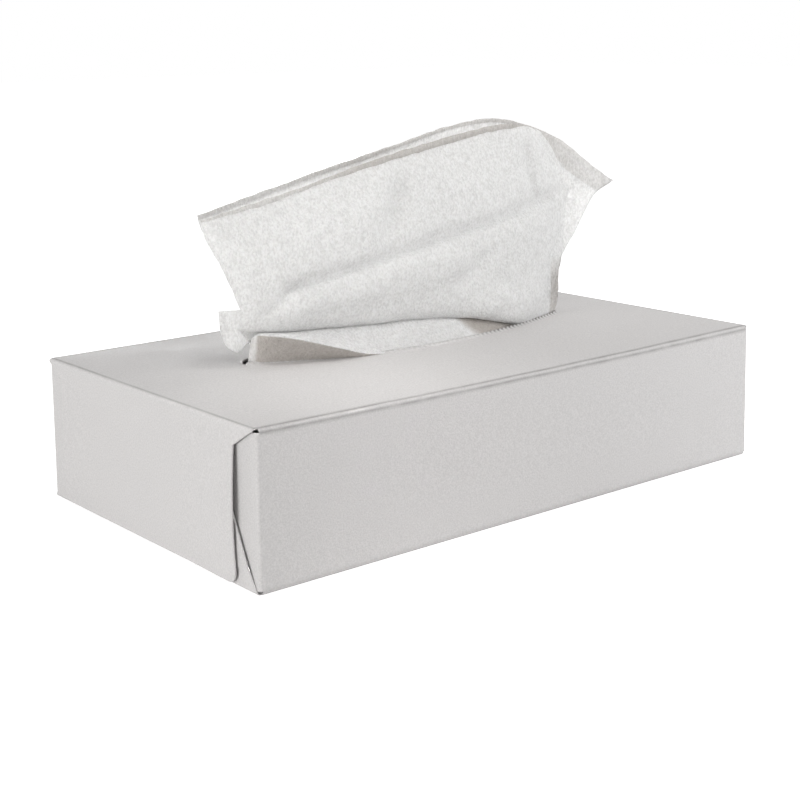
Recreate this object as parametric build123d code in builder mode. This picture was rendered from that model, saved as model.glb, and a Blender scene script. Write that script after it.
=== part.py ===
"""Tissue box: a glued folding carton with a lens-shaped dispensing slot, the stack of interfolded
sheets inside it, and the one sheet that stands up through the slot.

Millimetres, +Z up. The origin is on the floor under the middle of the carton. +X runs along the long
side, and the front is the long side at -Y.
"""
import os
from math import sqrt

from build123d import *

# Carton: outside sizes, board and creases
carton_length = 220.0
carton_width = 127.0
carton_height = 49.0
board = 0.5
fold_radius = 1.2

# Dispensing slot: a lens between two arcs, its two points rounded
slot_length = 152.0
slot_width = 32.0
slot_tip_radius = 3.0

# Outer end flap, folded down from the top panel
outer_flap_floor_gap = 1.0
outer_flap_shoulder = 2.0
outer_flap_setback = 10.0
outer_flap_chamfer = 5.0
outer_flap_corner_radius = 4.0

# Bottom end flap, folded up under the outer one, with tapered sides
bottom_flap_height = 36.0
bottom_flap_shoulder = 1.6
bottom_flap_taper = 17.0

# Dust flaps, folded in from the long sides
dust_flap_length = 46.0
dust_flap_taper = 5.0

# Glued seam inside the back panel
seam_width = 14.0
seam_end_setback = 6.0

# Stack of interfolded sheets
stack_end_gap = 5.0
stack_side_gap = 7.0
stack_headspace = 8.0
stack_edge_radius = 4.0

# Raised sheet
sheet_thickness = 0.5
sheet_slot_clearance = 1.0
sheet_slot_end_clearance = 9.0
sheet_foot_end_inset = 1.0
sheet_foot_width = 44.0
sheet_foot_bite = 0.2
# How far the base fold leans forwards between the stack and the slot
base_fold_lean = 3.0
# The plies stand upright. The fold's wall leans forwards and its ledge faces up, so it is
# thickened along a direction that crosses both.
across_plies = (0, 1, 0)
across_fold = (0, 0.15, 1)

# Half span at the slot for which the stations below are drawn. They spread with the sheet's own.
station_half_span = 67.0

# Front ply above the carton: where it curls under, its diagonal crease, a point above the crease and
# its top edge, at each station from left to right. Each point is x, y and the height above the top panel.
front_ply_stations = [
    [(-76, -4, 15), (-77.8, -8, 25), (-80.5, -7, 36), (-87.4, -2, 51)],
    [(-45, -5, 12), (-46, -10, 28.5), (-46, -8.5, 43), (-46, -3, 59)],
    [(-8, -6, 10), (-8, -11.5, 36), (-8, -9, 51), (-8, -4, 67.5)],
    [(31, -7.5, 6), (30, -11, 42), (29, -8.5, 57), (28, -4, 72.5)],
    [(57, -5, 8), (58, -8, 46), (59, -6, 58), (60, -3, 71)],
    [(72, -1, 12), (75, -3, 34), (76, -4, 42), (77, -6, 50)],
]
# Rear ply: a low, a middle and a top point of each station. Its last station is the corner that droops
# beyond the front ply.
rear_ply_stations = [
    [(-68, 4, 15), (-77, 3, 36), (-86, 2, 53)],
    [(-42, 5, 13), (-44, 5, 39), (-46, 3, 62)],
    [(-5, 6, 13), (-4, 6, 43), (-2, 3, 71)],
    [(33, 5, 13), (38, 5, 46), (44, 3, 78)],
    [(58, 4, 14), (66, 4, 43), (64, 3, 74)],
    [(70, 3, 16), (86, 1, 36), (102, -1, 50)],
]
# The fold that lies in front of the plies: its crest, where it meets the front ply, and its rear edge.
# Its left end curls up behind the front ply as a small free corner.
base_fold_stations = [
    [(-70, -5, 13), (-75.5, -1, 8), (-77.5, 5.5, 20)],
    [(-61, -9.5, 12.5), (-66, -4, 13), (-68, 5, 20)],
    [(-46, -13, 8.5), (-46, -5, 12), (-46, 2, 16)],
    [(-17, -15.5, 3.5), (-17, -6, 10), (-17, 1, 14)],
    [(12, -14.8, 2.5), (12, -7, 8.5), (12, 0, 12)],
    [(38, -11.5, 2), (38, -7.5, 5), (38, -2, 9)],
]

# Where each station passes the slot: its share of the sheet's half span there, and its share of the
# free half width of the slot, negative towards the front.
front_ply_crossings = [(-1.0, 0.0), (-0.62, -0.33), (-0.12, -0.34), (0.45, -0.55), (0.85, -0.7), (1.0, -0.2)]
rear_ply_crossings = [(-0.95, 0.6), (-0.6, 0.36), (-0.07, 0.34), (0.45, 0.32), (0.8, 0.42), (0.98, 0.6)]
base_fold_crossings = [(-0.98, -1.0), (-0.86, -1.0), (-0.66, -1.0), (-0.25, -1.0), (0.18, -1.0), (0.55, -1.0)]

# Derived sizes
half_length = carton_length / 2
half_width = carton_width / 2
tube_half_length = half_length - 2 * board - fold_radius
panel_width = carton_width - 2 * fold_radius
panel_height = carton_height - 2 * fold_radius
slot_radius = (slot_length**2 / 4 + slot_width**2 / 4) / slot_width
stack_length = carton_length - 6 * board - 2 * stack_end_gap
stack_width = carton_width - 2 * board - 2 * stack_side_gap
stack_height = carton_height - 2 * board - stack_headspace
stack_top = board + stack_height
sheet_half_span = slot_length / 2 - sheet_slot_end_clearance
sheet_foot_length = slot_length - 2 * sheet_foot_end_inset
spread = sheet_half_span / station_half_span


def strap(plane, length, depth, panel_size):
    """A closed band of board around a length by depth rectangle in the plane, as wide as its panel."""
    with BuildPart() as band:
        with BuildSketch(plane):
            RectangleRounded(length, depth, fold_radius)
            offset(amount=-board, kind=Kind.ARC, mode=Mode.SUBTRACT)
        extrude(amount=panel_size / 2, both=True)
    return band.part


def slot_half_width(x):
    """Half the width of the dispensing slot at x."""
    return sqrt(slot_radius**2 - x**2) - (slot_radius - slot_width / 2)


def led_through_slot(stations, crossings, lean=0):
    """The points of each station, led up from the stack through the slot, leaning forwards below it."""
    rows = []
    for upper, (span_share, depth_share) in zip(stations, crossings):
        x = span_share * sheet_half_span
        y = depth_share * (slot_half_width(x) - sheet_slot_clearance)
        foot = (x, y + lean, stack_top + sheet_thickness - sheet_foot_bite)
        rows.append([foot, (x, y, carton_height)] + [(px * spread, py, carton_height + rise) for px, py, rise in upper])
    return rows


def ply_face(rows):
    """One smooth face over the net of curves through the rows of points."""
    rises = [Spline(*row) for row in rows]
    levels = [Spline(*row) for row in zip(*rows)]
    return Face.make_gordon_surface(rises, levels)


def fold_faces(rows):
    """Ruled faces between the level curves of the rows, which meet in creases."""
    levels = [Spline(*row) for row in zip(*rows)]
    return [Face.make_surface_from_curves(low, high) for low, high in zip(levels, levels[1:])]


# Carton: a tube of four panels, then the panels' ends folded into flaps and glued
upright = Plane.XZ.shift_origin((0, 0, carton_height / 2))
level = Plane.XY.offset(carton_height / 2)

with BuildPart() as top_strap:
    add(strap(upright, carton_length, carton_height, panel_width))
    with BuildSketch(Plane.YZ) as outer_flap:
        with BuildLine():
            flap_side = half_width - outer_flap_setback
            fold_line = carton_height - fold_radius
            Polyline(
                (0, outer_flap_floor_gap),
                (flap_side, outer_flap_floor_gap),
                (flap_side, fold_line - outer_flap_chamfer),
                (half_width - outer_flap_shoulder, fold_line),
                (panel_width / 2, fold_line),
                (panel_width / 2, carton_height),
                (0, carton_height),
            )
            mirror(about=Plane.YZ)
        make_face()
        fillet(outer_flap.vertices().group_by(Axis.Y)[0], outer_flap_corner_radius)
    extrude(amount=carton_length, both=True, mode=Mode.INTERSECT)

with BuildPart() as bottom_strap:
    add(strap(upright, carton_length - 2 * board, carton_height, panel_width))
    with BuildSketch(Plane.YZ):
        with BuildLine():
            flap_base = half_width - bottom_flap_shoulder
            Polyline(
                (0, 0),
                (panel_width / 2, 0),
                (panel_width / 2, fold_radius),
                (flap_base, fold_radius),
                (flap_base - bottom_flap_taper, bottom_flap_height),
                (0, bottom_flap_height),
            )
            mirror(about=Plane.YZ)
        make_face()
    extrude(amount=carton_length, both=True, mode=Mode.INTERSECT)

with BuildPart() as side_straps:
    add(strap(level, carton_length - 4 * board, carton_width, panel_height))
    with BuildSketch(Plane.YZ):
        with BuildLine():
            flap_tip = half_width - dust_flap_length
            Polyline(
                (half_width, fold_radius),
                (half_width - fold_radius, fold_radius),
                (flap_tip, fold_radius + dust_flap_taper),
                (flap_tip, carton_height - fold_radius - dust_flap_taper),
                (half_width - fold_radius, carton_height - fold_radius),
                (half_width, carton_height - fold_radius),
                close=True,
            )
        make_face()
        mirror(about=Plane.YZ)
    extrude(amount=carton_length, both=True, mode=Mode.INTERSECT)

with BuildPart() as carton:
    with BuildSketch(Plane.YZ.shift_origin((0, 0, carton_height / 2))):
        RectangleRounded(carton_width, carton_height, fold_radius)
        offset(amount=-board, kind=Kind.ARC, mode=Mode.SUBTRACT)
    extrude(amount=tube_half_length, both=True)
    add([top_strap.part, bottom_strap.part, side_straps.part])
    with Locations((0, half_width - 1.5 * board, board + seam_width / 2)):
        Box(2 * (tube_half_length - seam_end_setback), board, seam_width)
    with BuildSketch(Plane.XY.offset(carton_height)) as slot:
        with BuildLine():
            ThreePointArc((-slot_length / 2, 0), (0, slot_width / 2), (slot_length / 2, 0))
            mirror(about=Plane.XZ)
        make_face()
        fillet(slot.vertices(), slot_tip_radius)
    extrude(amount=-2 * board, mode=Mode.SUBTRACT)

# Stack of interfolded sheets, folded edges along the two long sides
with BuildPart() as tissue_stack:
    with BuildSketch(Plane.YZ.shift_origin((0, 0, board + stack_height / 2))):
        RectangleRounded(stack_width, stack_height, stack_edge_radius)
    extrude(amount=stack_length / 2, both=True)

# Raised sheet: its lower part lies on the stack, and its plies and front fold rise through the slot
front_ply = fold_faces(led_through_slot(front_ply_stations, front_ply_crossings))
rear_ply = ply_face(led_through_slot(rear_ply_stations, rear_ply_crossings))
base_fold = fold_faces(led_through_slot(base_fold_stations, base_fold_crossings, base_fold_lean))

with BuildPart() as raised_tissue:
    with Locations((0, 0, stack_top)):
        Box(sheet_foot_length, sheet_foot_width, sheet_thickness, align=(Align.CENTER, Align.CENTER, Align.MIN))
    extrude(base_fold, sheet_thickness, dir=across_fold)
    extrude(front_ply, sheet_thickness, dir=across_plies)
    extrude(rear_ply, sheet_thickness, dir=across_plies)

os.makedirs("parts", exist_ok=True)
carton.part.label = "carton"
export_step(carton.part, "parts/carton.step")
tissue_stack.part.label = "tissue_stack"
export_step(tissue_stack.part, "parts/tissue_stack.step")
raised_tissue.part.label = "raised_tissue"
export_step(raised_tissue.part, "parts/raised_tissue.step")
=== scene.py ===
"""A carton of facial tissues with one sheet standing up through its slot."""
import math

import bmesh
import bpy
from mathutils import Matrix, Vector, noise


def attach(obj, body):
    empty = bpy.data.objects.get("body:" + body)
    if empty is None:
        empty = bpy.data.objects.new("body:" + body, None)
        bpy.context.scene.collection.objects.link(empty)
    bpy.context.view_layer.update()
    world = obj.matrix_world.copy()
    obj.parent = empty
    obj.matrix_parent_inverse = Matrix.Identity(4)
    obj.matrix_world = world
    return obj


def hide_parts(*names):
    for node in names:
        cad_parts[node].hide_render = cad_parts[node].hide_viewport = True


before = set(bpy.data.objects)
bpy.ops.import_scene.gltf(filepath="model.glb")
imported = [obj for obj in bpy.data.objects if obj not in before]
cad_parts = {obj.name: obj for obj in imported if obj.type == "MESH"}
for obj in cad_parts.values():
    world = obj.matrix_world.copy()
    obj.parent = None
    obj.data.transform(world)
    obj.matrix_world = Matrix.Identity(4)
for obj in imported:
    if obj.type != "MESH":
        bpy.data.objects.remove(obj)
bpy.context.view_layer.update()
scene = bpy.context.scene
scene.view_settings.view_transform = "Standard"

MM = 0.001


# Small helpers

def smooth(t):
    """A soft step from 0 to 1."""
    t = min(max(t, 0.0), 1.0)
    return t * t * (3 - 2 * t)


def waver(x, y, z, size, seed=0.0):
    """Soft noise from about -1 to 1 with features of that size in mm."""
    return noise.noise(Vector((x / size + seed, y / size - seed, z / size + 0.37 * seed)))


def smooth_run(points, steps):
    """Points along a smooth curve through the given ones, with so many steps in each span."""
    spans = [max((b - a).length, 1e-6) for a, b in zip(points, points[1:])]
    rates = [(b - a) / h for a, b, h in zip(points, points[1:], spans)]
    slopes = [rates[0]]
    for r0, r1, h0, h1 in zip(rates, rates[1:], spans, spans[1:]):
        slopes.append((r0 * h1 + r1 * h0) / (h0 + h1))
    slopes.append(rates[-1])
    run = [points[0].copy()]
    for i, count in enumerate(steps):
        for k in range(1, count + 1):
            f = k / count
            g = 1 - f
            run.append(
                points[i] * (g * g * (1 + 2 * f))
                + points[i + 1] * (f * f * (3 - 2 * f))
                + slopes[i] * (spans[i] * f * g * g)
                - slopes[i + 1] * (spans[i] * f * f * g)
            )
    return run


class Shell:
    """Collects grids of points in mm and welds the points they share."""

    def __init__(self):
        self.points, self.faces, self.marks, self.known = [], [], [], {}

    def vertex(self, point, mark):
        key = tuple(round(c, 2) for c in point)
        if key not in self.known:
            self.known[key] = len(self.points)
            self.points.append(Vector(point))
            self.marks.append(mark)
        return self.known[key]

    def grid(self, rows, marks=None, flip=False):
        index = [
            [self.vertex(p, marks[i][j] if marks else 0.0) for j, p in enumerate(row)]
            for i, row in enumerate(rows)
        ]
        for low, high in zip(index, index[1:]):
            for a, b, c, d in zip(low, low[1:], high[1:], high):
                face = [v for k, v in enumerate((a, b, c, d)) if v not in (a, b, c, d)[:k]]
                if len(face) > 2:
                    self.faces.append(face[::-1] if flip else face)

    def build(self, name, deform, mark_name):
        mesh = bpy.data.meshes.new(name)
        mesh.from_pydata([deform(p) * MM for p in self.points], [], self.faces)
        work = bmesh.new()
        work.from_mesh(mesh)
        bmesh.ops.recalc_face_normals(work, faces=work.faces)
        work.to_mesh(mesh)
        work.free()
        mesh.polygons.foreach_set("use_smooth", [True] * len(mesh.polygons))
        mark = mesh.attributes.new(mark_name, "FLOAT", "POINT")
        mark.data.foreach_set("value", self.marks)
        mesh.validate()
        mesh.update()
        obj = bpy.data.objects.new(name, mesh)
        scene.collection.objects.link(obj)
        return obj


def thicken(obj, thickness, offset):
    """Gives a surface its thickness in mm: offset -1 is inwards, 0 to both sides."""
    solid = obj.modifiers.new("thickness", "SOLIDIFY")
    solid.thickness = thickness * MM
    solid.offset = offset


# Materials

BOARD_DARK, BOARD_LIGHT = (0.535, 0.524, 0.522, 1), (0.628, 0.615, 0.612, 1)
# Near-black colour of the painted shade along the board's folds and in the slot's nicks
BOARD_SHADE = (0.06, 0.054, 0.048, 1)
TISSUE_DARK, TISSUE_LIGHT = (0.78, 0.777, 0.772, 1), (0.998, 0.998, 0.996, 1)
GLOW_DARK, GLOW_LIGHT = (0.9, 0.896, 0.89, 1), (0.995, 0.993, 0.989, 1)
# Warm dark colour of the painted shade on the sheet where its layers mark goes above 1
WARM_SHADE = (0.2, 0.13, 0.07, 1)
TISSUE_CLEAR = 0.57


def nodes_of(owner):
    """The emptied nodes and the links of a material or a world."""
    owner.use_nodes = True
    tree = owner.node_tree
    tree.nodes.clear()
    return tree.nodes, tree.links


def add(nodes, kind, **settings):
    node = nodes.new(kind)
    for key, value in settings.items():
        setattr(node, key, value)
    return node


def set_inputs(node, **values):
    for key, value in values.items():
        node.inputs[key.replace("_", " ")].default_value = value


def noise_texture(nodes, links, coords, stretch, scale, detail=3.0, roughness=0.55):
    mapping = add(nodes, "ShaderNodeMapping")
    mapping.inputs["Scale"].default_value = stretch
    links.new(coords, mapping.inputs["Vector"])
    texture = add(nodes, "ShaderNodeTexNoise")
    set_inputs(texture, Scale=scale, Detail=detail, Roughness=roughness)
    links.new(mapping.outputs["Vector"], texture.inputs["Vector"])
    return texture.outputs["Fac"]


def remap(nodes, links, value, low, high, to_low, to_high):
    node = add(nodes, "ShaderNodeMapRange")
    node.inputs["From Min"].default_value = low
    node.inputs["From Max"].default_value = high
    node.inputs["To Min"].default_value = to_low
    node.inputs["To Max"].default_value = to_high
    links.new(value, node.inputs["Value"])
    return node.outputs["Result"]


def combine(nodes, links, operation, a, b):
    node = add(nodes, "ShaderNodeMath", operation=operation)
    for socket, value in zip(node.inputs, (a, b)):
        if isinstance(value, (int, float)):
            socket.default_value = value
        else:
            links.new(value, socket)
    return node.outputs["Value"]


def blend_colour(nodes, links, factor, a, b):
    node = add(nodes, "ShaderNodeMix", data_type="RGBA")
    links.new(factor, node.inputs["Factor"])
    for socket, value in ((node.inputs["A"], a), (node.inputs["B"], b)):
        if isinstance(value, tuple):
            socket.default_value = value
        else:
            links.new(value, socket)
    return node.outputs["Result"]


def weighted(nodes, links, first, second):
    """The sum of two values, each times its weight."""
    parts = [combine(nodes, links, "MULTIPLY", value, weight) for value, weight in (first, second)]
    return combine(nodes, links, "ADD", *parts)


def board_material():
    """Clay-coated folding board: cloudy, with a fine tooth, a faint sheen, and painted shade along the scores
    and in the slot's nicks.
    """
    material = bpy.data.materials.new("folding_board")
    nodes, links = nodes_of(material)
    out = add(nodes, "ShaderNodeOutputMaterial")
    board = add(nodes, "ShaderNodeBsdfPrincipled")
    coords = add(nodes, "ShaderNodeTexCoord").outputs["Object"]
    cloud = noise_texture(nodes, links, coords, (1, 1, 1), 60, 4)
    tooth = noise_texture(nodes, links, coords, (1, 1, 1), 1900, 2, 0.6)
    fibre = noise_texture(nodes, links, coords, (0.35, 1, 1), 2600, 2)
    score = add(nodes, "ShaderNodeAttribute", attribute_name="score").outputs["Fac"]
    shade_strength = noise_texture(nodes, links, coords, (1, 1, 1), 140, 3)

    tint = weighted(nodes, links, (cloud, 0.12), (tooth, 0.88))
    share = remap(nodes, links, tint, 0.35, 0.65, 0, 1)
    colour = blend_colour(nodes, links, share, BOARD_DARK, BOARD_LIGHT)
    # Painted shade: the score mark darkens the board towards near black, made uneven by noise
    board_shade = combine(nodes, links, "MULTIPLY", score, remap(nodes, links, shade_strength, 0.3, 0.65, 0.6, 1.0))
    colour = blend_colour(nodes, links, board_shade, colour, BOARD_SHADE)
    links.new(colour, board.inputs["Base Color"])
    links.new(remap(nodes, links, cloud, 0.3, 0.7, 0.55, 0.7), board.inputs["Roughness"])
    set_inputs(board, Specular_IOR_Level=0.25)

    height = combine(nodes, links, "ADD", tooth, combine(nodes, links, "MULTIPLY", fibre, 0.6))
    bump = add(nodes, "ShaderNodeBump")
    set_inputs(bump, Strength=0.45, Distance=0.00015)
    links.new(height, bump.inputs["Height"])
    links.new(bump.outputs["Normal"], board.inputs["Normal"])
    links.new(board.outputs["BSDF"], out.inputs["Surface"])
    return material


def tissue_material(name, through):
    """Creped tissue: cloudy fibre, fine upright crepe lines, light that comes through it, and painted warm shade
    where the layers mark goes above 1.
    """
    material = bpy.data.materials.new(name)
    nodes, links = nodes_of(material)
    out = add(nodes, "ShaderNodeOutputMaterial")
    face = add(nodes, "ShaderNodeBsdfPrincipled")
    back = add(nodes, "ShaderNodeBsdfTranslucent")
    mix = add(nodes, "ShaderNodeMixShader")
    coords = add(nodes, "ShaderNodeTexCoord").outputs["Object"]
    cloud = noise_texture(nodes, links, coords, (1, 1, 1), 380, 3, 0.6)
    fleck = noise_texture(nodes, links, coords, (1, 1, 0.75), 1350, 3, 0.65)
    crepe = noise_texture(nodes, links, coords, (1, 1, 0.12), 1900, 2)
    layers = add(nodes, "ShaderNodeAttribute", attribute_name="layers").outputs["Fac"]

    formation = weighted(nodes, links, (cloud, 0.25), (fleck, 0.75))
    share = remap(nodes, links, formation, 0.38, 0.6, 0, 1)
    colour = blend_colour(nodes, links, share, TISSUE_DARK, TISSUE_LIGHT)
    glow = blend_colour(nodes, links, share, GLOW_DARK, GLOW_LIGHT)
    set_inputs(face, Roughness=0.95, Specular_IOR_Level=0.08)

    # Painted shade: above 1 the layers mark darkens the face and the light through it towards a warm dark
    painted_shade = remap(nodes, links, layers, 1, 2, 0, 0.5)
    colour = blend_colour(nodes, links, painted_shade, colour, WARM_SHADE)
    glow = blend_colour(nodes, links, painted_shade, glow, WARM_SHADE)
    links.new(colour, face.inputs["Base Color"])
    links.new(glow, back.inputs["Color"])
    clear = remap(nodes, links, formation, 0.42, 0.58, through - 0.07, through + 0.05)
    clear = combine(nodes, links, "MULTIPLY", clear, remap(nodes, links, layers, 0, 1, 1, 0.3))
    links.new(clear, mix.inputs["Fac"])

    height = weighted(nodes, links, (fleck, 0.7), (crepe, 0.6))
    bump = add(nodes, "ShaderNodeBump")
    set_inputs(bump, Strength=1.0, Distance=0.0007)
    links.new(height, bump.inputs["Height"])
    links.new(bump.outputs["Normal"], face.inputs["Normal"])
    links.new(bump.outputs["Normal"], back.inputs["Normal"])
    links.new(face.outputs["BSDF"], mix.inputs[1])
    links.new(back.outputs["BSDF"], mix.inputs[2])
    links.new(mix.outputs["Shader"], out.inputs["Surface"])
    return material


# Carton, in mm

LENGTH, WIDTH, HEIGHT, BOARD, FOLD = 220.0, 127.0, 49.0, 0.5, 1.2
HALF_L, HALF_W = LENGTH / 2, WIDTH / 2
TUBE = HALF_L - 2 * BOARD - FOLD
SIDE = HALF_W - FOLD

# Slot: the arcs' radius, half its width, the round of its tips, where that is centred and where it ends
SLOT_R, SLOT_HALF, TIP_R = 188.5, 16.0, 3.0
SLOT_TIP = math.sqrt((SLOT_R - TIP_R) ** 2 - (SLOT_R - SLOT_HALF) ** 2)
SLOT_END = SLOT_TIP + TIP_R
PERFORATION = 2.2

# Flaps: half widths at the fold and below, chamfer, corner round and heights
OUTER_TOP, OUTER_SIDE, OUTER_CHAMFER, OUTER_CORNER, OUTER_GAP = 61.5, 53.5, 5.0, 4.0, 1.0
BOTTOM_BASE, BOTTOM_TAPER, BOTTOM_TOP = 61.9, 17.0, 36.0
DUST_TIP, DUST_TAPER = 17.5, 5.0

# Distances in from a long fold at which the top panel and outer flaps have their lines
LINES_IN = [0, 0.5, 1.2, 3, 7, 13, 20, 28, 35, 40, 43, 45, 46, 46.3]


def slot_edge(x):
    """Half the slot's width at x, with its rounded ends."""
    x = abs(x)
    if x >= SLOT_END:
        return 0.0
    if x < SLOT_TIP * SLOT_R / (SLOT_R - TIP_R):
        return math.sqrt(SLOT_R**2 - x * x) - (SLOT_R - SLOT_HALF)
    return math.sqrt(max(TIP_R**2 - (x - SLOT_TIP) ** 2, 0.0))


def arc(cx, cy, start, end, steps=6):
    """Points on a fold's quarter round, in the plane of its section."""
    turns = [math.radians(start + (end - start) * k / steps) for k in range(steps + 1)]
    return [(cx + FOLD * math.cos(a), cy + FOLD * math.sin(a)) for a in turns]


def between(a, b, near=(0.5, 1.2, 3.0), middle=8):
    """Stations from a to b, close together near both folds."""
    way = 1 if b > a else -1
    inner = [a + way * 3.0 + (b - a - way * 6.0) * k / middle for k in range(1, middle)]
    return [a] + [a + way * d for d in near] + inner + [b - way * d for d in near[::-1]] + [b]


def score_of(distance):
    """How strongly the painted shade along a crease shows at that distance from a fold's tangent line."""
    return math.exp(-((distance / 0.55) ** 2))


def bottom_side(z):
    """Half the width of the tapered bottom flap at that height."""
    return BOTTOM_BASE - BOTTOM_TAPER * (z - FOLD) / (BOTTOM_TOP - FOLD)


def outer_share(run, z):
    """The outer flap's width at that height, as a share of the panel's."""
    fold_line = HEIGHT - FOLD
    if z > fold_line + 0.01:
        return 1.0
    if z > fold_line - OUTER_CHAMFER:
        return (OUTER_TOP - (OUTER_TOP - OUTER_SIDE) * (fold_line - z) / OUTER_CHAMFER) / SIDE
    rounded = OUTER_GAP + OUTER_CORNER
    if z > rounded:
        return OUTER_SIDE / SIDE
    corner = math.sqrt(max(OUTER_CORNER**2 - (rounded - z) ** 2, 0))
    return (OUTER_SIDE - OUTER_CORNER + corner) / SIDE


def carton_shell():
    """The outside of the folded board, to be thickened inwards."""
    shell = Shell()
    step = PERFORATION / 4
    count = int(SLOT_TIP / step)
    inside = [k * step for k in range(count + 1)]
    tip = [SLOT_END - d for d in (1.9, 1.2, 0.7, 0.35, 0.1, 0.0)]
    outside = [SLOT_END + d for d in (1.0, 3.0, 7.0, 13.0, 20.0, 27.0, 32.0, 34.5)] + [TUBE - 0.5, TUBE]
    positive = inside + [x for x in tip if x > inside[-1]] + outside
    columns = [-x for x in positive[:0:-1]] + positive

    # Top panel, in two halves that meet the slot's perforated edge
    for way in (-1, 1):
        rows, marks = [], []
        for x in columns:
            edge = slot_edge(x)
            nick = 0.0
            if edge > 1.0 and round(abs(x) / step) % 4 in (1, 2):
                nick = 0.06 + 0.05 * waver(x, way * 9, 0, 3.0)
            far = SIDE - edge - nick
            rows.append([(x, way * (SIDE - d / LINES_IN[-1] * far), HEIGHT) for d in LINES_IN])
            # Painted shade along the long folds
            marks.append([0.6 * score_of(d) for d in LINES_IN])
            # Painted shadow: the nicks' edge points are darkened, more towards the right, for the gaps between
            # the torn teeth
            if nick:
                dark = 0.2 + 0.8 * smooth((x - 14) / 16)
                marks[-1][-2:] = [0.6 * dark, dark]
        shell.grid(rows, marks, flip=way < 0)

    # Long folds and the three other panels, once round the section
    section = arc(-SIDE, HEIGHT - FOLD, 90, 180)
    section += [(-HALF_W, z) for z in between(HEIGHT - FOLD, FOLD)[1:]]
    section += arc(-SIDE, FOLD, 180, 270)[1:]
    section += [(y, 0.0) for y in between(-SIDE, SIDE, middle=12)[1:]]
    section += arc(SIDE, FOLD, 270, 360)[1:]
    section += [(HALF_W, z) for z in between(FOLD, HEIGHT - FOLD)[1:]]
    section += arc(SIDE, HEIGHT - FOLD, 0, 90)[1:]

    # Painted shade along the long folds round the section, stronger on the upper ones
    def section_mark(y, z):
        to_fold = min(abs(abs(y) - SIDE), min(abs(z - FOLD), abs(z - HEIGHT + FOLD)))
        return score_of(to_fold) * (0.5 if z > HEIGHT / 2 else 0.15)

    rows = [[(x, y, z) for y, z in section] for x in columns]
    shell.grid(rows, [[section_mark(y, z) for y, z in section]] * len(columns), flip=True)

    # Ends: each panel runs over its fold into its flap
    for way in (-1, 1):
        def strip(lines, path, share, place, flip, shade_strength):
            rows, marks = [], []
            for k, (run, depth) in enumerate(path):
                rows.append([place(run, depth, line * share(run, depth)) for line in lines])
                # Painted shade along the fold where each strip starts
                marks.append([score_of(abs(k - 1) * 0.5) * shade_strength if k < 10 else 0.0] * len(lines))
            shell.grid(rows, marks, flip=flip)

        halves = [SIDE - d / LINES_IN[-1] * SIDE for d in LINES_IN]
        top_lines = [-h for h in halves] + halves[-2::-1]

        path = [(TUBE, HEIGHT)] + arc(HALF_L - FOLD, HEIGHT - FOLD, 90, 0)
        path += [(HALF_L, z) for z in (47.79, 47.2, 46.3, 44.5, 42.8, 40, 35, 30, 25, 20, 15, 10, 7)]
        path += [(HALF_L, z) for z in (5, 3.8, 2.8, 2.0, 1.5, 1.15, 1.0)]
        strip(top_lines, path, outer_share, lambda x, z, y: (way * x, y, z), way < 0, 0.45)

        reach = HALF_L - BOARD
        path = [(TUBE, 0.0)] + arc(reach - FOLD, FOLD, -90, 0)
        path += [(reach, z) for z in (2.0, 4, 8, 13, 18, 24, 30, 34, 36)]
        bottom_lines = between(-SIDE, SIDE, middle=12)
        strip(
            bottom_lines, path,
            lambda x, z: 1.0 if z < FOLD else bottom_side(z) / SIDE,
            lambda x, z, y: (way * x, y, z), way > 0, 0.3,
        )

        reach = HALF_L - 2 * BOARD
        side_lines = [z - HEIGHT / 2 for z in between(FOLD, HEIGHT - FOLD)]
        tall = HEIGHT / 2 - FOLD
        for side in (-1, 1):
            path = arc(reach - FOLD, SIDE, 90, 0)
            path += [(reach, y) for y in (61, 58, 54, 48, 40, 30, 22, DUST_TIP)]
            strip(
                side_lines, path,
                lambda x, y: 1.0 if y >= SIDE - 0.01 else 1 - DUST_TAPER * (SIDE - y) / (SIDE - DUST_TIP) / tall,
                lambda x, y, z: (way * x, side * y, z + HEIGHT / 2), way * side > 0, 0.06,
            )

    # Glue seam inside the back panel
    seam_y = HALF_W - BOARD - 0.01
    shell.grid([[(x, seam_y, z) for z in (0.6, 7.5, 14.5)] for x in (-101.8, -50, 0, 50, 101.8)])
    return shell


def bow(x, y):
    """How far the slotted top panel arches up."""
    across = max(0.0, 1 - (y / SIDE) ** 2) ** 1.5
    lift = 1.5 + 1.2 * math.exp(-(((x + 66) / 24) ** 2))
    return lift * across * max(0.0, 1 - (x / TUBE) ** 6)


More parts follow.
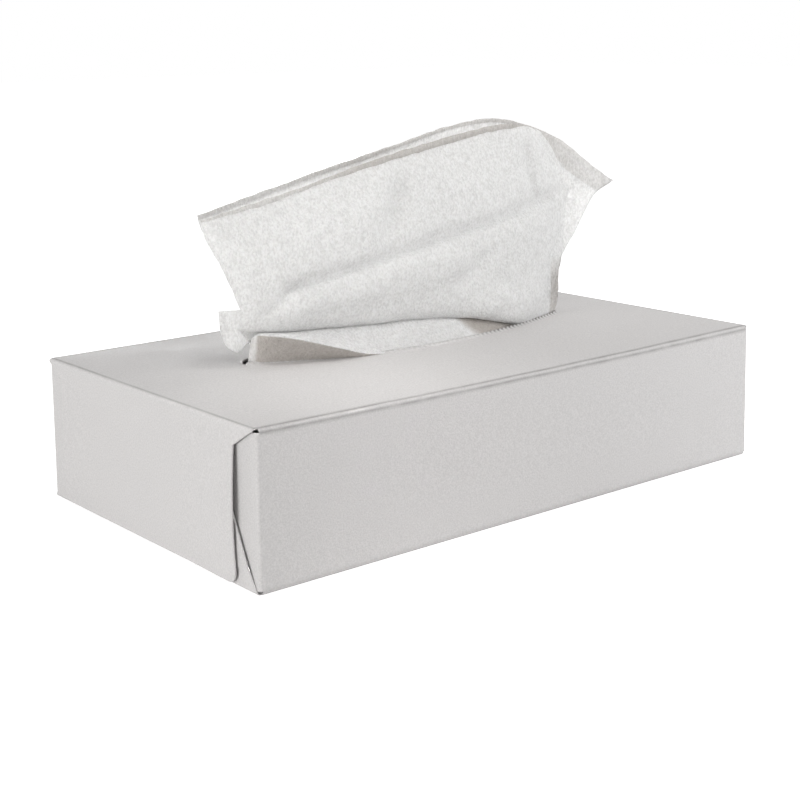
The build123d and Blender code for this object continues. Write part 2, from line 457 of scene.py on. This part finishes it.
def settle(p):
    """The carton's small bends: sprung top, soft folds, a lifted flap edge and slack panels."""
    x, y, z = p
    q = Vector((x, y, z))
    middle = max(0.0, 1 - (x / TUBE) ** 2)
    # The top panel springs up, most along the slot's edge
    if z > HEIGHT - 0.01:
        q.z += bow(x, y)
        if slot_edge(x) > 1.0:
            q.z += 0.9 * math.exp(-(((abs(y) - slot_edge(x)) / 0.4) ** 2))
    # The long fold in front sags and rolls outwards
    to_front = math.hypot(y + HALF_W, z - HEIGHT)
    q.z -= (0.7 * middle + 0.12 * waver(x, 0, 0, 14)) * math.exp(-to_front / 5) * (1 if z > 30 else 0)
    q.y -= 0.25 * middle * math.exp(-to_front / 6)
    # The long sides bulge
    if abs(y) > HALF_W - 0.01:
        q.y += math.copysign(0.45, y) * middle * math.sin(math.pi * z / HEIGHT)
    # The outer flap lifts off at its edges, and the bottom flap under it follows
    if abs(x) > HALF_L - 0.01 and z < HEIGHT - FOLD:
        hang = math.sin(math.pi * min(1.0, (HEIGHT - FOLD - z) / 52)) ** 0.8
        lift = 1.5 * smooth((abs(y) - 18) / 36) if y < 0 else 0.4 * smooth((abs(y) - 26) / 28)
        q.x += math.copysign(lift * hang, x)
    elif abs(abs(x) - HALF_L + BOARD) < 0.01 and FOLD < z < BOTTOM_TOP + 4:
        from_edge = bottom_side(z) - abs(y)
        lift = (0.65 if y < 0 else 0.2) * smooth(1 - from_edge / 12) * smooth((z - FOLD) / 7)
        q.x += math.copysign(lift, x)
    # Slack in the panels
    soft = 0.10 * waver(x, y, z, 38, 3.1)
    if abs(z - HEIGHT) < 0.02:
        q.z += soft
    elif abs(abs(y) - HALF_W) < 0.02:
        q.y += soft
    return q


# Stack of sheets left in the carton

STACK_TOP = 40.5
STACK_HALF_L, STACK_HALF_W, STACK_EDGE = 103.5, 56.0, 4.0


def stack_shell():
    """The block of folded sheets: layer by layer, each a little out of line with the next."""
    shell = Shell()
    low, layers, per = BOARD, 40, 3
    profile = []
    for side in (1, -1):
        run = []
        for k in range(layers * per + 1):
            height = k / per
            z = low + height
            round_off = 0.0
            for d in (height, layers - height):
                if d < STACK_EDGE:
                    round_off = max(round_off, STACK_EDGE - math.sqrt(STACK_EDGE**2 - (STACK_EDGE - d) ** 2))
            fold = 0.28 * (1 - abs(math.sin(math.pi * height)))
            run.append((side * (STACK_HALF_W - round_off - fold), z))
        profile.append(run if side > 0 else run[::-1])
    flat = [28, 0, -28]
    ring = profile[0] + [(y, low + layers) for y in flat] + profile[1] + [(y, low) for y in flat[::-1]]
    ring.append(ring[0])
    xs = [-STACK_HALF_L, -103, -95, -75, -50, -25, 0, 25, 50, 75, 95, 103, STACK_HALF_L]
    shell.grid([[(x, y, z) for y, z in ring] for x in xs])
    for end in (-STACK_HALF_L, STACK_HALF_L):
        right, left = profile[0], profile[1][::-1]
        rows = []
        for (y1, z1), (y0, z0) in zip(right, left):
            rows.append([(end, y0 + (y1 - y0) * k / 6, z1) for k in range(7)])
        shell.grid(rows, flip=end > 0)
    return shell


def stack_settle(p):
    """Moves each layer's edges in by an uneven amount."""
    layer = math.floor(p.z)
    q = Vector(p)
    inward = 0.25 * (1 + waver(layer * 7.3, p.x, 0, 40, 1.7))
    if abs(p.y) > 40:
        q.y -= math.copysign(inward, p.y)
    if abs(p.x) > 103.2:
        q.x -= math.copysign(0.3 * (1 + waver(layer * 5.1, p.y, 0, 30, 4.2)), p.x)
    return q


# Raised sheet: its thickness, and for each ply its levels from the stack up, each with its points from
# left to right, in mm

SHEET = 0.2
FRONT_PLY = [
    [
        (-57, 2, 41.3), (-50, 1, 41.3), (-38, 0, 41.3), (-16, -1, 41.3), (8, -2, 41.3),
        (20, -2, 41.3), (29, -3, 41.3), (38, -3, 41.3), (50, -2, 41.3), (62, 0, 41.3),
    ],
    [
        (-63, 0, 49.2), (-55, -2, 49.2), (-42, -3, 49.2), (-17, -4, 49.2), (9, -4, 49.2),
        (21.5, -3.4, 49.2), (31, -4.6, 49.2), (41.5, -9, 49.2), (57, -5.9, 49.2), (70.2, -0.9, 49.2),
    ],
    [
        (-74.5, -2, 64.2), (-62.6, -2.2, 61.6), (-43.6, -3.2, 60.4), (-18.8, -4.2, 59), (8, -5, 57.2),
        (20.8, -5, 56.2), (31, -6, 54), (42, -9.8, 50.8), (57.8, -6.2, 50.6), (71.1, -1, 50.9),
    ],
    [
        (-76, -4.4, 64), (-63.3, -5, 61.6), (-44.1, -5.8, 60.4), (-19.1, -6.8, 59.1), (7.8, -7.8, 57.4),
        (21.2, -9.2, 55.8), (31.5, -10.2, 53.4), (42, -10.7, 51.2), (57.9, -6.4, 51.3), (71.2, -1.1, 52.2),
    ],
    [
        (-76.1, -6.5, 68.5), (-62.4, -9, 67.7), (-44.3, -10, 67.9), (-18.4, -11, 69.3), (8.5, -11.5, 70.7),
        (22.4, -11.8, 70.6), (34.3, -11.8, 70.1), (45.2, -10.8, 70.1), (60, -6.6, 71), (73.6, -2.3, 73.9),
    ],
    [
        (-77.3, -8, 75), (-60.4, -9.6, 74.8), (-44.4, -10.4, 77.4), (-17.4, -11.2, 82.3), (8.6, -11, 86.7),
        (23.5, -10.6, 89.1), (36.5, -10, 91.1), (48.4, -9, 92.8), (62.3, -6, 93.9), (74.4, -3, 88.4),
    ],
    [
        (-84.3, -4.5, 92.1), (-65.6, -7, 94.1), (-45.5, -7.8, 97.5), (-16.4, -8.3, 102.4), (8.7, -8, 106.8),
        (24.7, -7.7, 109.6), (38.7, -7.3, 111), (50.6, -6.6, 110.6), (63, -5.2, 107), (74.2, -4.2, 94.6),
    ],
    [
        (-87.3, -2, 99.8), (-65.6, -3, 103.1), (-45.8, -3, 107.4), (-16.2, -4, 113.8), (8.3, -4, 117.7),
        (24.7, -4, 120.4), (40.8, -4, 122.4), (57.4, -3.4, 121.6), (63.1, -3.2, 115.6), (74.8, -5.4, 98.4),
    ],
]
MIDDLE_PLY = [
    [
        (-54, 4, 41.3), (-38, 3, 41.3), (-16, 2, 41.3), (8, 1, 41.3), (25, 1, 41.3),
        (42, 1, 41.3), (54, 1, 41.3), (62, 1.5, 41.3),
    ],
    [
        (-60, 2, 49), (-42, 0, 49), (-17, -1, 49), (9, -2, 49), (27, -2.5, 49),
        (45, -3, 49), (57, -1.5, 49), (67, 0.6, 49),
    ],
    [
        (-71.4, -2, 65.4), (-44.4, -6, 65.4), (-17.4, -7, 66.3), (9.4, -7.5, 67.2), (28.3, -7.5, 68.1),
        (48.1, -6, 69), (59.9, -3, 69), (70.3, -0.8, 68.9),
    ],
    [
        (-76.5, -4, 79.5), (-45.4, -7, 82.4), (-17.4, -7.5, 87.3), (8.6, -7.5, 91.2), (29.5, -7, 94.1),
        (47.4, -6, 96), (60.3, -3.8, 95.9), (71.6, -1.6, 86.9),
    ],
    [
        (-86.5, -0.8, 100.3), (-45.6, -0.6, 108.1), (-16, -0.8, 115), (8.5, -0.8, 119.5), (27.8, -0.8, 122.5),
        (46.2, -0.9, 124.1), (62.3, -1, 120.7), (74.7, -2.6, 103.9),
    ],
]
REAR_PLY = [
    [
        (-50, 6, 41.3), (-36, 7, 41.3), (-14, 7, 41.3), (8, 7, 41.3), (25, 6, 41.3),
        (42, 5, 41.3), (53, 4, 41.3), (60, 3, 41.3),
    ],
    [
        (-61, 3.2, 49), (-42, 4.5, 49), (-17, 5.5, 49), (9, 5.5, 49), (28, 5, 49),
        (45, 4.5, 49), (58, 3.2, 49), (67, 1.8, 49),
    ],
    [
        (-66.4, 4, 62.4), (-42.4, 6, 63.3), (-16.5, 7, 64.2), (10.3, 7, 65.1), (30.2, 6.5, 66.1),
        (49, 6, 66), (62.8, 4.5, 65), (74.1, 2.6, 64.9),
    ],
    [
        (-75.6, 4, 82.5), (-43.5, 6.2, 85.4), (-16.5, 7, 90.2), (9.4, 7, 94.1), (32.4, 6.6, 97),
        (54.3, 6, 96.9), (72.1, 4, 90.8), (85.8, 1, 82.8),
    ],
    [
        (-84.5, 2.8, 97.9), (-45.1, 3.8, 106), (-22.5, 4, 110.3), (2.6, 4, 115), (26.6, 4, 119.1),
        (48.6, 3.8, 119.3), (68.4, 2.6, 110.4), (93.9, -0.8, 94.7),
    ],
    [
        (-85.9, 2, 101.7), (-45.2, 3, 110.6), (-23.8, 3, 115.3), (-1.4, 3, 119.9), (22.2, 3, 124.6),
        (45.2, 3, 126.1), (66.6, 2.6, 120.9), (102.3, -2, 98.9),
    ],
]
LEDGE = [
    [
        (-71.2, 13, 58.7), (-69.3, 12.5, 54.8), (-67.4, 10.5, 53.1), (-68, 4, 56.3), (-69.2, -2, 59.9),
        (-69, -6, 62), (-66.8, -10.2, 62), (-62.4, -13, 61.2), (-54.3, -15, 58.9), (-43.7, -16, 55.4),
        (-30.9, -15.2, 51.4), (-15, -15.5, 50.2), (0.3, -15.6, 50.1), (16.8, -14.9, 49.9), (24, -13.2, 50.8),
        (34, -11.8, 50.1), (42, -10.2, 49.2),
    ],
    [
        (-71.5, 13.2, 60.4), (-69.5, 12.4, 57.2), (-67.6, 10.2, 55.5), (-67.7, 4.2, 57.9), (-68.6, -1.4, 60.4),
        (-68.4, -5.2, 62), (-66, -9.2, 62), (-61.7, -12, 61.3), (-53.6, -14, 59), (-42.8, -14.9, 55.6),
        (-30.1, -14.2, 51.9), (-14, -14.2, 50.9), (1, -14.2, 51), (16.7, -13.4, 51), (23.6, -11.8, 51.9),
        (33.7, -11, 50.9), (42, -9.9, 49.6),
    ],
    [
        (-71.7, 13.4, 62.4), (-69.5, 12.3, 59.6), (-67.4, 10, 58.3), (-67.2, 4.6, 59.7), (-67.7, -0.4, 60.9),
        (-67.3, -3.8, 61.9), (-64.1, -6.5, 61.7), (-59.4, -8.6, 61.1), (-50.7, -10, 59.4), (-39.7, -10.8, 57),
        (-27.4, -10.8, 54.6), (-11.5, -11.2, 53.8), (1.3, -11.2, 54.1), (13.8, -10.8, 53.8), (22.8, -9.4, 53.8),
        (33.2, -9.8, 52.2), (41.8, -9.6, 50.2),
    ],
    [
        (-71.8, 13.5, 64.1), (-69.4, 12.3, 62.3), (-67.2, 10, 61.3), (-66.6, 5.4, 61.9), (-66.2, 1.4, 62.1),
        (-65.6, -1.5, 62.1), (-61.8, -3.4, 61.4), (-56.4, -4.6, 61), (-47.2, -5.2, 60.5), (-35.9, -5.8, 59.9),
        (-23.7, -6.2, 59.2), (-7.9, -7, 58.5), (1.8, -7.4, 58), (9.8, -7.8, 57.1), (22, -7.2, 55.4),
        (32.6, -8.4, 53.2), (41.4, -9, 50.8),
    ],
    [
        (-71.8, 13.5, 65.8), (-69.1, 12.4, 64.9), (-66.4, 10.4, 64.5), (-65.4, 7, 64.9), (-64, 4.4, 64.4),
        (-62.5, 2.5, 63.5), (-58.2, 1.2, 62.4), (-52.9, 0, 61.2), (-44, -0.8, 60.2), (-32.6, -1.4, 59.3),
        (-20.3, -1.8, 58.4), (-4.4, -2.6, 57.4), (5, -3, 56.7), (12.7, -3.4, 55.6), (21.4, -5.6, 55.8),
        (32, -7, 53.5), (41, -8, 51),
    ],
    [
        (-71.9, 13.5, 67.2), (-68.9, 12.5, 67.2), (-65.9, 11, 67.3), (-63.7, 9, 67.4), (-62, 7, 66.8),
        (-59.9, 5.6, 65.4), (-55.5, 4.4, 63.6), (-50.4, 3, 61.7), (-42, 2, 60.1), (-30.5, 1.4, 58.6),
        (-18.3, 0.8, 57.3), (-2.3, 0, 56), (7, -0.6, 55.5), (14.7, -1, 54.2), (21, -4.2, 55.7),
        (31.6, -5.6, 53.4), (40.6, -7, 51),
    ],
]
WALL = [
    [
        (-57, -1, 41.3), (-55, -2, 41.3), (-53, -3, 41.3), (-50, -4, 41.3), (-45, -6, 41.3),
        (-36, -8, 41.3), (-27, -10, 41.3), (-12, -11, 41.3), (3, -10.5, 41.3), (15, -9.5, 41.3),
        (22, -8, 41.3), (31, -7, 41.3), (38, -6, 41.3),
    ],
    [
        (-69.6, -0.3, 51.1), (-67.8, -2.5, 50.6), (-64.2, -4.2, 50.3), (-59, -5.9, 50.2), (-50.5, -8.6, 50),
        (-40, -10.8, 49.4), (-29, -12.8, 48.6), (-13, -14.6, 48.6), (2, -15, 48.6), (16, -14.4, 48.6),
        (24, -12.9, 48.6), (34, -11.5, 48.5), (42, -10, 48.3),
    ],
    [
        (-69.4, -1, 55.9), (-68.4, -4.2, 56.3), (-64.9, -6.6, 56.1), (-60.6, -9, 55.9), (-52.9, -11.8, 54.7),
        (-43, -14, 52.9), (-30.9, -14.6, 50.7), (-15.3, -15.5, 49.6), (0.2, -15.7, 49.7), (16.7, -15, 49.5),
        (24, -13.3, 50.4), (34, -11.9, 49.9), (42, -10.3, 49),
    ],
]


# Creases: start and end in x and z, widths above and below that line, depth backwards, fade at the ends
FRONT_CREASES = [
    ((-66, 73.7), (72, 96.7), 3.0, 0.75, 2.1, 10),
    ((-58, 66), (64, 88), 6.0, 5.0, -0.8, 20),
    ((-21, 82), (-6, 114), 3.4, 4.2, 3.6, 13),
    ((-33, 86), (-22, 112), 5.0, 5.0, -0.8, 10),
    ((55, 92), (51, 121), 4.5, 1.8, 1.6, 8),
    ((-70, 66), (-50, 79), 2.6, 1.2, 1.2, 6),
    ((-66, 64), (-40, 74), 3.0, 3.0, -0.5, 8),
    ((6, 64), (38, 84), 4.5, 2.0, 1.5, 12),
    ((24, 74), (52, 60), 3.6, 1.4, 1.3, 10),
    ((22, 55), (36, 64), 2.4, 2.4, -1.6, 5),
]
REAR_CREASES = [
    ((58, 118), (88, 92), 3.0, 1.5, 1.2, 8),
    ((-70, 70), (40, 112), 3.0, 1.2, 1.2, 14),
    ((-40, 60), (20, 80), 4.0, 4.0, -0.9, 12),
]
# Height above which the plies' edges are ragged
RAGGED_FROM = 52


def crease(x, z, a, b, above, below, depth, ends):
    """Depth at x and z of a soft crease along the line from a to b."""
    dx, dz = b[0] - a[0], b[1] - a[1]
    length = math.hypot(dx, dz)
    run = ((x - a[0]) * dx + (z - a[1]) * dz) / length
    off = ((z - a[1]) * dx - (x - a[0]) * dz) / length
    fade = smooth(run / ends) * smooth((length - run) / ends)
    return depth * math.exp(-((off / (above if off > 0 else below)) ** 2)) * fade


def front_detail(p):
    """How far the front ply moves back at p."""
    x, z = p.x, p.z
    d = sum(crease(x, z, *values) for values in FRONT_CREASES)
    gather = smooth((x - 57) / 9) * smooth((80 - z) / 24)
    d += 1.1 * gather * math.sin(2 * math.pi * (x + 0.06 * (z - 50)) / 3.3)
    d += 0.7 * waver(x, 0, z, 19, 2.2) + 0.32 * waver(x, 0, z, 8, 5.5) + 0.14 * waver(x, 0, z, 3.5, 1.1)
    return d * smooth((z - 50) / 10)


def rear_detail(p):
    """How far the rear ply moves back at p."""
    x, z = p.x, p.z
    d = 0.7 * waver(x, 1, z, 22, 8.1) + 0.25 * waver(x, 2, z, 8, 3.3)
    for values in REAR_CREASES:
        d += crease(x, z, *values)
    return d * smooth((z - 50) / 10)


def base_detail(p):
    """How far the fold in front moves back at p."""
    x, y, z = p
    return (0.25 * waver(x, y, z, 9, 6.4) + 0.12 * waver(x, y, z, 4, 9.2)) * smooth((z - 49) / 4)


def ragged(p, seed):
    """The torn and cut edges waver a little."""
    return 0.35 * waver(p.x, p.y, p.z, 5, seed) + 0.2 * waver(p.x, p.y, p.z, 1.8, seed + 2)


def ply(shell, levels, across, up, detail, layers):
    """Adds one ply to the sheet, with its creases and its uneven edge."""
    rows = [smooth_run([Vector(p) for p in level], across) for level in levels]
    columns = [smooth_run([row[j] for row in rows], up) for j in range(len(rows[0]))]
    last_u, last_v = len(columns) - 1, len(columns[0]) - 1
    marks = []
    for j, column in enumerate(columns):
        top = column[-1].copy()
        marks.append([layers(p, (top - p).length) for p in column])
        for i, p in enumerate(column):
            p.y += detail(p)
            edge = max(0.0, 1 - min(j, last_u - j) / 2)
            if p.z > RAGGED_FROM:
                p.x += edge * ragged(p, 1.3)
                p.z += max(0.0, 1 - (last_v - i) / 2) * ragged(p, 7.9)
    shell.grid(columns, marks)


def front_opacity_and_shade(p, depth):
    """Less light comes through the front ply; where the gathers at the slot's end lie one on another it turns
    opaque and takes painted shade.
    """
    return 0.5 + 1.15 * smooth((p.x - 60) / 8) * smooth((84 - p.z) / 22)


def middle_opacity_and_shade(p, depth):
    """The middle ply's turned edge, a band of painted shade which ends short of the right side."""
    mark = 1.38 + 0.3 * smooth((p.x + 62) / 50)
    return mark * (1 - smooth((depth - 7) / 2)) * smooth((66 - p.x) / 8)


def rear_opacity_and_shade(p, depth):
    """The rear ply's edge is turned over: a band of painted shade, wider and paler towards the drooping corner,
    where the ply lets less light through.
    """
    wide = 1.7 + 6.5 * smooth((p.x - 46) / 22)
    mark = 1.25 + 0.22 * smooth((p.x + 62) / 50) - 0.2 * smooth((p.x - 62) / 32)
    alone = 0.4 * smooth((p.x - 72) / 6)
    return max(alone, mark * (1 - smooth((depth - wide) / 0.8)))


def ledge_opacity_and_shade(p):
    """A thin free corner at the left end, thicker under the panel, and painted shade in the pocket at its right
    end.
    """
    left = smooth((p.x + 71) / 5) * smooth((-32 - p.x) / 22)
    pocket = smooth((p.x - 8.8 + (7.8 + p.y) * 0.99) / 9)
    return 0.6 + 0.2 * left - 0.45 * smooth((-65 - p.x) / 3) + 1.4 * pocket


def base_fold(shell):
    """The fold in front: a wall up from the slot, its crest, and the ledge that hangs over at the left."""
    across = [6, 7, 8, 7, 7, 7, 8, 9, 10, 11, 12, 11, 10, 7, 7, 6]
    levels = [smooth_run([Vector(p) for p in level], across) for level in LEDGE]
    ledge = [smooth_run(list(column), [3, 5, 6, 6, 6]) for column in zip(*levels)]
    first = sum(across[:4])
    wall_rows = [smooth_run([Vector(p) for p in level], across[4:]) for level in WALL]
    wall = []
    for j, column in enumerate(zip(*wall_rows)):
        wall.append(smooth_run(list(column) + [ledge[first + j][0]], [4, 6, 8]))
    for columns in (ledge, wall):
        for column in columns:
            for p in column:
                p.y += base_detail(p)
        marks = [[ledge_opacity_and_shade(p) for p in column] for column in columns]
        # Painted shade: the wall under the crest is marked above 1, darker towards its right
        if columns is wall:
            wall_shade = [1.3 + 0.65 * smooth((j - 5) / 2) for j in range(len(marks))]
            marks = [[max(m, low) for m in column] for low, column in zip(wall_shade, marks)]
        shell.grid(columns, marks)


def sheet_foot():
    """The part that still lies on the stack, slightly wavy."""
    length, width, along, across, lift = 150, 44, 40, 16, 0.45
    rows = []
    for i in range(along + 1):
        x = -length / 2 + length * i / along
        row = []
        for j in range(across + 1):
            z = STACK_TOP + lift + 0.25 * waver(x, j * 2.75, 0, 12, 4.4)
            row.append((x, -width / 2 + width * j / across, z))
        rows.append(row)
    return rows


def sheet_shell():
    """The whole raised sheet: its three plies, the fold in front and its foot."""
    shell = Shell()
    front_steps = [15, 15, 16, 16, 10, 9, 9, 11, 16]
    ply(shell, FRONT_PLY, front_steps, [4, 6, 4, 6, 8, 14, 8], front_detail, front_opacity_and_shade)
    ply(shell, MIDDLE_PLY, [16] * 7, [4, 10, 10, 14], lambda p: 0.6 * front_detail(p), middle_opacity_and_shade)
    ply(shell, REAR_PLY, [17] * 7, [4, 9, 12, 11, 9], rear_detail, rear_opacity_and_shade)
    base_fold(shell)
    shell.grid(sheet_foot())
    return shell


# The object

board = board_material()
tissue = tissue_material("creped_tissue", TISSUE_CLEAR)

carton = carton_shell().build("carton_board", settle, "score")
thicken(carton, BOARD, -1)
carton.data.materials.append(board)
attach(carton, "root")
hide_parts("carton")

stack = stack_shell().build("stacked_tissues", stack_settle, "layers")
stack.data.materials.append(tissue)
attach(stack, "root")
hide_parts("tissue_stack")

sheet = sheet_shell().build("standing_tissue", Vector, "layers")
thicken(sheet, SHEET, 0)
sheet.data.materials.append(tissue)
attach(sheet, "root")
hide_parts("raised_tissue")


# Stage, light and camera

FLOOR_HALF, FLOOR_GLOW = 4.0, 0.76
WORLD_STRENGTH = 0.4
WARM = (1.0, 0.985, 0.965)

# Lamps: place, aim and size in metres, power in watts, colour and spread in degrees
LAMPS = [
    ("key", (-0.05, -0.55, 0.85), (0, 0, 0.05), (0.5, 0.5), 3.15, (1.0, 0.987, 0.968), 180),
    ("overhead", (0.25, 0.02, 0.72), (0.09, 0.01, 0.05), (0.15, 0.15), 0.042, WARM, 40),
    ("pool", (-0.09, -0.16, 0.6), (-0.06, -0.045, 0.05), (0.06, 0.06), 0.009, WARM, 15),
    ("panel", (-0.62, -0.42, 0.24), (0, 0, 0.1), (0.05, 0.05), 0.0038, (1.0, 0.99, 0.975), 14),
    ("behind", (0.1, 1.2, 0.115), (0, 0, 0.1), (1.4, 0.2), 9.0, (1.0, 1.0, 1.0), 180),
    ("end_fill", (-0.85, -0.12, 0.1), (-0.11, 0, 0.03), (0.5, 0.18), 3.2, (1.0, 0.995, 0.985), 180),
    ("front_fill", (0.42, -0.36, 0.12), (0.12, -0.06, 0.03), (0.3, 0.2), 1.05, (0.975, 0.985, 1.0), 180),
]


# Camera: lens and sensor in mm, shift, then yaw, pitch and roll in degrees, and its place in metres
CAMERA_LENS, CAMERA_SENSOR, CAMERA_SHIFT = 68.37, 36.0, -0.2
CAMERA_TURN = (-39.07, 8.05, -0.79)
CAMERA_PLACE = (-0.3381, -0.4109, 0.1607)


def sees_backdrop(nodes, links):
    """1 for the rays that show the pale backdrop, 0 for those that light the object."""
    seen = add(nodes, "ShaderNodeLightPath").outputs
    through = combine(nodes, links, "MAXIMUM", seen["Is Glossy Ray"], seen["Is Transmission Ray"])
    return combine(nodes, links, "MAXIMUM", seen["Is Camera Ray"], through)


def stage_floor():
    """A pale floor that keeps the object's shadow."""
    mesh = bpy.data.meshes.new("floor")
    r = FLOOR_HALF
    mesh.from_pydata([(-r, -r, 0), (r, -r, 0), (r, r, 0), (-r, r, 0)], [], [(0, 1, 2, 3)])
    floor = bpy.data.objects.new("floor", mesh)
    scene.collection.objects.link(floor)
    material = bpy.data.materials.new("white_sweep")
    nodes, links = nodes_of(material)
    out = add(nodes, "ShaderNodeOutputMaterial")
    paint = add(nodes, "ShaderNodeBsdfDiffuse")
    glow = add(nodes, "ShaderNodeEmission")
    total = add(nodes, "ShaderNodeAddShader")
    set_inputs(paint, Color=(0.8, 0.8, 0.8, 1))
    shown = combine(nodes, links, "MULTIPLY", sees_backdrop(nodes, links), FLOOR_GLOW)
    links.new(shown, glow.inputs["Strength"])
    links.new(paint.outputs["BSDF"], total.inputs[0])
    links.new(glow.outputs["Emission"], total.inputs[1])
    links.new(total.outputs["Shader"], out.inputs["Surface"])
    mesh.materials.append(material)


def surround(strength):
    """A white world, which lights the object with that strength."""
    world = bpy.data.worlds.new("white_tent")
    scene.world = world
    nodes, links = nodes_of(world)
    out = add(nodes, "ShaderNodeOutputWorld")
    sky = add(nodes, "ShaderNodeBackground")
    shown = remap(nodes, links, sees_backdrop(nodes, links), 0, 1, strength, 1.0)
    links.new(shown, sky.inputs["Strength"])
    set_inputs(sky, Color=(1, 1, 1, 1))
    links.new(sky.outputs["Background"], out.inputs["Surface"])


def softbox(name, place, aim, size, power, colour, spread):
    light = bpy.data.lights.new(name, "AREA")
    light.shape = "RECTANGLE"
    light.size, light.size_y = size
    light.energy = power
    light.color = colour
    light.spread = math.radians(spread)
    lamp = bpy.data.objects.new(name, light)
    lamp.location = place
    lamp.rotation_euler = (Vector(aim) - Vector(place)).to_track_quat("-Z", "Y").to_euler()
    scene.collection.objects.link(lamp)


def photo_camera():
    """The photo's view: yaw a, pitch e and roll r, fitted to the carton's corners."""
    data = bpy.data.cameras.new("camera")
    data.lens = CAMERA_LENS
    data.sensor_width = CAMERA_SENSOR
    data.shift_y = CAMERA_SHIFT
    data.clip_start = 0.01
    camera = bpy.data.objects.new("camera", data)
    a, e, r = (math.radians(angle) for angle in CAMERA_TURN)
    right = Vector((math.cos(a), math.sin(a), 0))
    back = Vector((math.sin(a) * math.cos(e), -math.cos(a) * math.cos(e), math.sin(e)))
    up = back.cross(right)
    side = right * math.cos(r) + up * math.sin(r)
    top = up * math.cos(r) - right * math.sin(r)
    pose = Matrix((side, top, back)).transposed().to_4x4()
    pose.translation = CAMERA_PLACE
    camera.matrix_world = pose
    scene.collection.objects.link(camera)
    scene.camera = camera


stage_floor()
surround(WORLD_STRENGTH)
for lamp in LAMPS:
    softbox(*lamp)
photo_camera()
